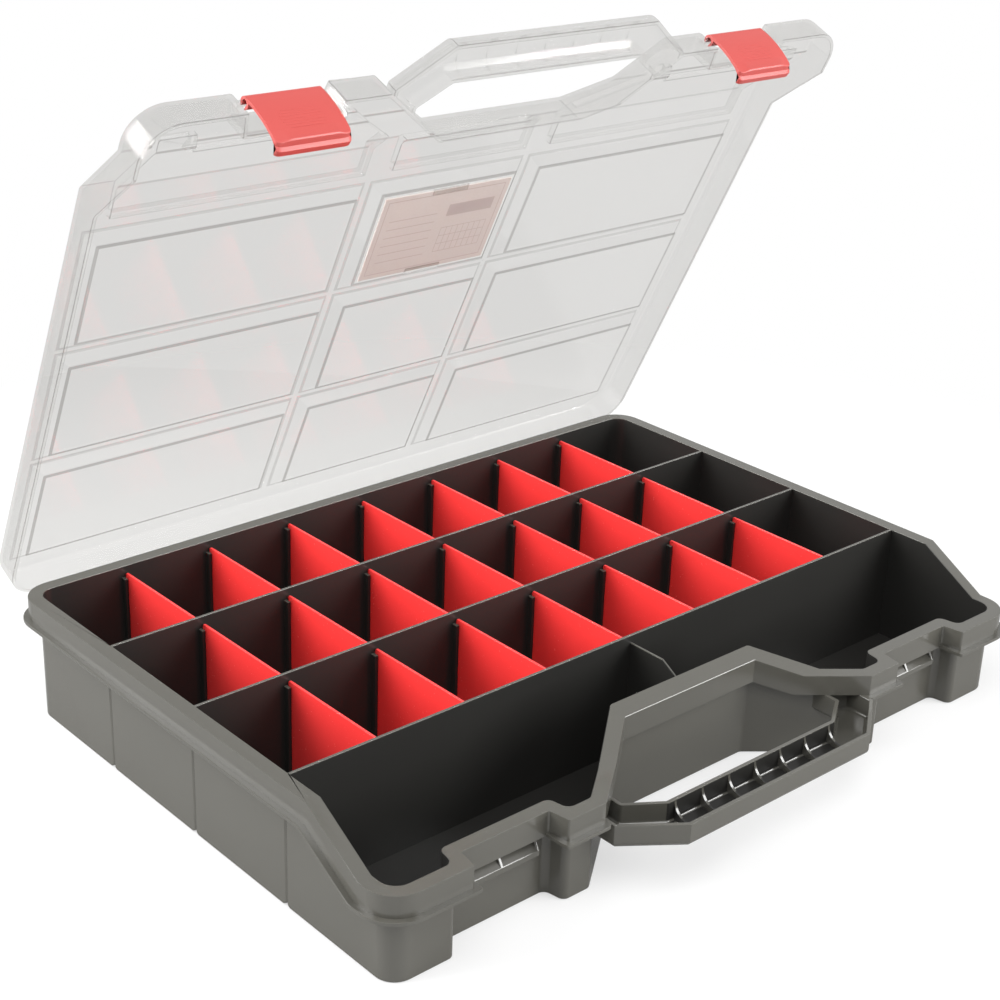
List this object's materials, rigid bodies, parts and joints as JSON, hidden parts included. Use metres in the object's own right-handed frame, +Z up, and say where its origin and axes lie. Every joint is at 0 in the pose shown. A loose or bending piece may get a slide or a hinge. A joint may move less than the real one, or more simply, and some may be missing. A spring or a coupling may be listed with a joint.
{
  "type": "compartment storage box",
  "caption": "Portable case with a clear hinged lid, snap latches and a carry handle, its dark tray divided into small cells by lift-out dividers, for screws and craft parts.",
  "frame": {"origin": "middle of the tray's inner plan, on the flat underside that the box stands on", "axes": "+X to the right along the hinge line, +Y to the back where the hinge is, +Z up; the handle is at the front, -Y"},
  "size_m": [0.456, 0.3651, 0.3699],
  "materials": {
    "tray": "moulded, satin gloss, dark grey",
    "lid": "clear moulded plastic",
    "latch": "moulded, satin, red",
    "divider": "moulded, satin, red",
    "card": "plain printed card"
  },
  "bodies": {
    "tray": {"tray": "tray"},
    "lid": {"lid": "lid", "label_card": "card"},
    "latch_left": {"latch_left": "latch"},
    "latch_right": {"latch_right": "latch"},
    "divider_rear_1": {"divider_rear_1": "divider"},
    "divider_rear_2": {"divider_rear_2": "divider"},
    "divider_rear_3": {"divider_rear_3": "divider"},
    "divider_rear_4": {"divider_rear_4": "divider"},
    "divider_rear_5": {"divider_rear_5": "divider"},
    "divider_rear_6": {"divider_rear_6": "divider"},
    "divider_rear_7": {"divider_rear_7": "divider"},
    "divider_middle_1": {"divider_middle_1": "divider"},
    "divider_middle_2": {"divider_middle_2": "divider"},
    "divider_middle_3": {"divider_middle_3": "divider"},
    "divider_middle_4": {"divider_middle_4": "divider"},
    "divider_middle_5": {"divider_middle_5": "divider"},
    "divider_middle_6": {"divider_middle_6": "divider"},
    "divider_middle_7": {"divider_middle_7": "divider"},
    "divider_front_1": {"divider_front_1": "divider"},
    "divider_front_2": {"divider_front_2": "divider"},
    "divider_front_3": {"divider_front_3": "divider"},
    "divider_front_4": {"divider_front_4": "divider"},
    "divider_front_5": {"divider_front_5": "divider"},
    "divider_front_6": {"divider_front_6": "divider"},
    "divider_front_7": {"divider_front_7": "divider"}
  },
  "joints": [
    {"name": "lid_hinge", "type": "hinge", "parent": "tray", "child": "lid", "pos_m": [0, 0.1673, 0.0592], "axis": [-1, 0, 0], "range_deg": [-64.2, 45.8]},
    {"name": "latch_left_pivot", "type": "hinge", "parent": "lid", "child": "latch_left", "pos_m": [-0.1492, 0.01758, 0.34892], "axis": [-1, 0, 0], "range_deg": [-13, 107]},
    {"name": "latch_right_pivot", "type": "hinge", "parent": "lid", "child": "latch_right", "pos_m": [0.1492, 0.01758, 0.34892], "axis": [-1, 0, 0], "range_deg": [-13, 107]},
    {"name": "divider_rear_1_lift", "type": "slide", "parent": "tray", "child": "divider_rear_1", "axis": [0, 0, 1], "range_m": [0, 0.05]},
    {"name": "divider_rear_2_lift", "type": "slide", "parent": "tray", "child": "divider_rear_2", "axis": [0, 0, 1], "range_m": [0, 0.05]},
    {"name": "divider_rear_3_lift", "type": "slide", "parent": "tray", "child": "divider_rear_3", "axis": [0, 0, 1], "range_m": [0, 0.05]},
    {"name": "divider_rear_4_lift", "type": "slide", "parent": "tray", "child": "divider_rear_4", "axis": [0, 0, 1], "range_m": [0, 0.05]},
    {"name": "divider_rear_5_lift", "type": "slide", "parent": "tray", "child": "divider_rear_5", "axis": [0, 0, 1], "range_m": [0, 0.05]},
    {"name": "divider_rear_6_lift", "type": "slide", "parent": "tray", "child": "divider_rear_6", "axis": [0, 0, 1], "range_m": [0, 0.05]},
    {"name": "divider_rear_7_lift", "type": "slide", "parent": "tray", "child": "divider_rear_7", "axis": [0, 0, 1], "range_m": [0, 0.05]},
    {"name": "divider_middle_1_lift", "type": "slide", "parent": "tray", "child": "divider_middle_1", "axis": [0, 0, 1], "range_m": [0, 0.05]},
    {"name": "divider_middle_2_lift", "type": "slide", "parent": "tray", "child": "divider_middle_2", "axis": [0, 0, 1], "range_m": [0, 0.05]},
    {"name": "divider_middle_3_lift", "type": "slide", "parent": "tray", "child": "divider_middle_3", "axis": [0, 0, 1], "range_m": [0, 0.05]},
    {"name": "divider_middle_4_lift", "type": "slide", "parent": "tray", "child": "divider_middle_4", "axis": [0, 0, 1], "range_m": [0, 0.05]},
    {"name": "divider_middle_5_lift", "type": "slide", "parent": "tray", "child": "divider_middle_5", "axis": [0, 0, 1], "range_m": [0, 0.05]},
    {"name": "divider_middle_6_lift", "type": "slide", "parent": "tray", "child": "divider_middle_6", "axis": [0, 0, 1], "range_m": [0, 0.05]},
    {"name": "divider_middle_7_lift", "type": "slide", "parent": "tray", "child": "divider_middle_7", "axis": [0, 0, 1], "range_m": [0, 0.05]},
    {"name": "divider_front_1_lift", "type": "slide", "parent": "tray", "child": "divider_front_1", "axis": [0, 0, 1], "range_m": [0, 0.05]},
    {"name": "divider_front_2_lift", "type": "slide", "parent": "tray", "child": "divider_front_2", "axis": [0, 0, 1], "range_m": [0, 0.05]},
    {"name": "divider_front_3_lift", "type": "slide", "parent": "tray", "child": "divider_front_3", "axis": [0, 0, 1], "range_m": [0, 0.05]},
    {"name": "divider_front_4_lift", "type": "slide", "parent": "tray", "child": "divider_front_4", "axis": [0, 0, 1], "range_m": [0, 0.05]},
    {"name": "divider_front_5_lift", "type": "slide", "parent": "tray", "child": "divider_front_5", "axis": [0, 0, 1], "range_m": [0, 0.05]},
    {"name": "divider_front_6_lift", "type": "slide", "parent": "tray", "child": "divider_front_6", "axis": [0, 0, 1], "range_m": [0, 0.05]},
    {"name": "divider_front_7_lift", "type": "slide", "parent": "tray", "child": "divider_front_7", "axis": [0, 0, 1], "range_m": [0, 0.05]}
  ]
}
